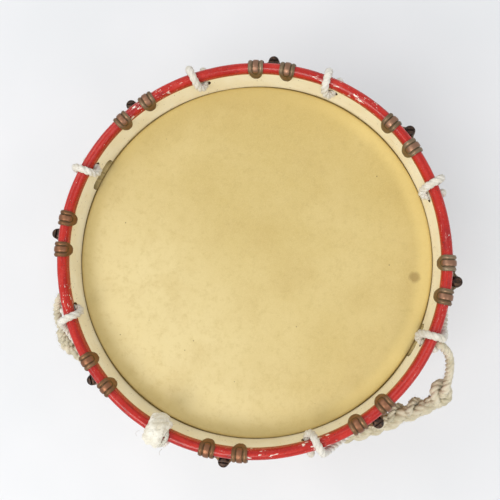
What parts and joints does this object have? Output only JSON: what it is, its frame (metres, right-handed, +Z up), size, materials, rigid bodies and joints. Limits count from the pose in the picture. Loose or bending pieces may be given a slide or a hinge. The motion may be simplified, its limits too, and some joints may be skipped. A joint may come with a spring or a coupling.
{
  "type": "rope-dressed parade drum",
  "caption": "Cylindrical brass-shelled drum with two calfskin heads, red counterhoops, bronze double claws on slotted tension screws, laced cotton rope and a plaited drag rope.",
  "frame": {"origin": "centre of the drum's axis on the plane the bottom rope loops stand on", "axes": "+Z up along the drum's axis; the drag rope hangs on the -Y side"},
  "size_m": [0.4105, 0.4254, 0.3974],
  "materials": {
    "shell_brass": "aged sheet brass, softly polished with brown tarnish",
    "ring_wood": "bare oiled hardwood",
    "flesh_hoop_ash": "ash hoop darkened by the skin lapped round it",
    "calfskin": "golden tan calfskin, mottled and faintly stained, soft sheen",
    "hoop_paint": "gloss red enamel over the rim with chips and scuffs, cream enamel on the inner wall",
    "claw_bronze": "aged copper bronze, brown with worn pinkish highlights",
    "screw_steel": "browned blackened steel",
    "cotton_rope": "off-white three-strand cotton rope"
  },
  "bodies": {
    "root": {"shell": "shell_brass", "air_vent_eyelet": "shell_brass", "top_edge_ring": "ring_wood", "top_flesh_hoop": "flesh_hoop_ash", "top_head": "calfskin", "top_counterhoop": "hoop_paint", "bottom_edge_ring": "ring_wood", "bottom_flesh_hoop": "flesh_hoop_ash", "bottom_head": "calfskin", "bottom_counterhoop": "hoop_paint", "top_double_claw_1": "claw_bronze", "top_double_claw_2": "claw_bronze", "top_double_claw_3": "claw_bronze", "top_double_claw_4": "claw_bronze", "top_double_claw_5": "claw_bronze", "top_double_claw_6": "claw_bronze", "top_double_claw_7": "claw_bronze", "top_double_claw_8": "claw_bronze", "bottom_double_claw_1": "claw_bronze", "bottom_double_claw_2": "claw_bronze", "bottom_double_claw_3": "claw_bronze", "bottom_double_claw_4": "claw_bronze", "bottom_double_claw_5": "claw_bronze", "bottom_double_claw_6": "claw_bronze", "bottom_double_claw_7": "claw_bronze", "bottom_double_claw_8": "claw_bronze", "tension_nut_1": "screw_steel", "tension_nut_2": "screw_steel", "tension_nut_3": "screw_steel", "tension_nut_4": "screw_steel", "tension_nut_5": "screw_steel", "tension_nut_6": "screw_steel", "tension_nut_7": "screw_steel", "tension_nut_8": "screw_steel", "tension_rope": "cotton_rope", "rope_end_knot": "cotton_rope", "drag_rope_right_lead": "cotton_rope", "drag_rope_knot": "cotton_rope", "drag_rope_plait": "cotton_rope", "drag_rope_left_lead": "cotton_rope"},
    "screw_1": {"tension_screw_1": "screw_steel"},
    "screw_2": {"tension_screw_2": "screw_steel"},
    "screw_3": {"tension_screw_3": "screw_steel"},
    "screw_4": {"tension_screw_4": "screw_steel"},
    "screw_5": {"tension_screw_5": "screw_steel"},
    "screw_6": {"tension_screw_6": "screw_steel"},
    "screw_7": {"tension_screw_7": "screw_steel"},
    "screw_8": {"tension_screw_8": "screw_steel"}
  },
  "joints": [
    {"name": "screw_turn_1", "type": "hinge", "parent": "root", "child": "screw_1", "pos_m": [0.19565, -0.02472, 0.3659], "axis": [0, 0, 1], "range_deg": [-450, 810]},
    {"name": "screw_turn_2", "type": "hinge", "parent": "root", "child": "screw_2", "pos_m": [0.15582, 0.12087, 0.3659], "axis": [0, 0, 1], "range_deg": [-450, 810]},
    {"name": "screw_turn_3", "type": "hinge", "parent": "root", "child": "screw_3", "pos_m": [0.02472, 0.19565, 0.3659], "axis": [0, 0, 1], "range_deg": [-450, 810]},
    {"name": "screw_turn_4", "type": "hinge", "parent": "root", "child": "screw_4", "pos_m": [-0.12087, 0.15582, 0.3659], "axis": [0, 0, 1], "range_deg": [-450, 810]},
    {"name": "screw_turn_5", "type": "hinge", "parent": "root", "child": "screw_5", "pos_m": [-0.19565, 0.02472, 0.3659], "axis": [0, 0, 1], "range_deg": [-450, 810]},
    {"name": "screw_turn_6", "type": "hinge", "parent": "root", "child": "screw_6", "pos_m": [-0.15582, -0.12087, 0.3659], "axis": [0, 0, 1], "range_deg": [-450, 810]},
    {"name": "screw_turn_7", "type": "hinge", "parent": "root", "child": "screw_7", "pos_m": [-0.02472, -0.19565, 0.3659], "axis": [0, 0, 1], "range_deg": [-450, 810]},
    {"name": "screw_turn_8", "type": "hinge", "parent": "root", "child": "screw_8", "pos_m": [0.12087, -0.15582, 0.3659], "axis": [0, 0, 1], "range_deg": [-450, 810]}
  ]
}
